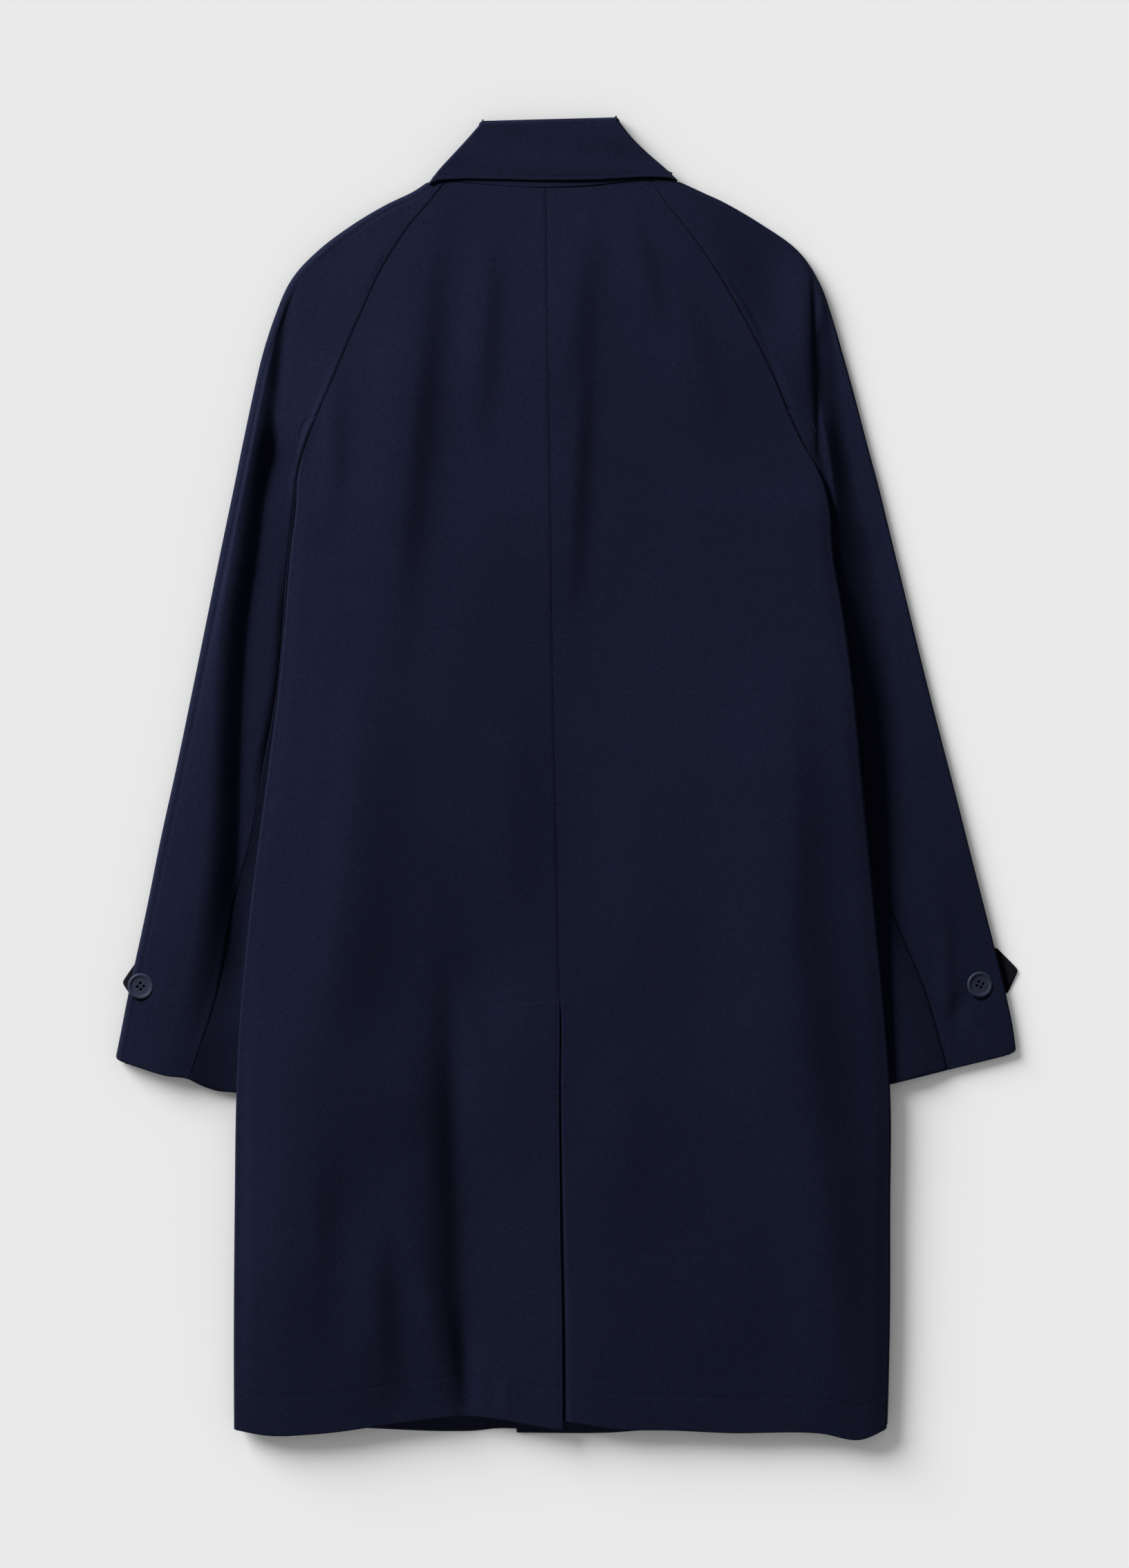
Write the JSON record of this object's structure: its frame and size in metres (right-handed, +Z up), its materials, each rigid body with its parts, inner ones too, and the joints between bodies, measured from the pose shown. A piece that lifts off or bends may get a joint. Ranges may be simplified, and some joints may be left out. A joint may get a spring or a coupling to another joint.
{
  "type": "raglan car coat",
  "caption": "Navy raglan car coat laid flat face down: plain back with centre seam and vent, turned collar, long sleeves with cuff tabs and buttons.",
  "frame": {"origin": "on the floor, under the middle of the coat's bounding box", "axes": "+Z up from the floor, +Y along the coat from the hem to the collar, +X to the right as seen from above"},
  "size_m": [0.7161, 1.0488, 0.0295],
  "materials": {
    "navy_cloth": "matte woven",
    "button_plastic": "satin"
  },
  "bodies": {
    "root": {"back_left": "navy_cloth", "back_right": "navy_cloth", "front_left": "navy_cloth", "front_right": "navy_cloth", "top_sleeve_left": "navy_cloth", "top_sleeve_right": "navy_cloth", "under_sleeve_left": "navy_cloth", "under_sleeve_right": "navy_cloth", "cuff_tab_left": "navy_cloth", "cuff_tab_right": "navy_cloth", "cuff_button_left": "button_plastic", "cuff_button_right": "button_plastic", "collar_fall": "navy_cloth", "collar_stand": "navy_cloth"}
  },
  "joints": []
}
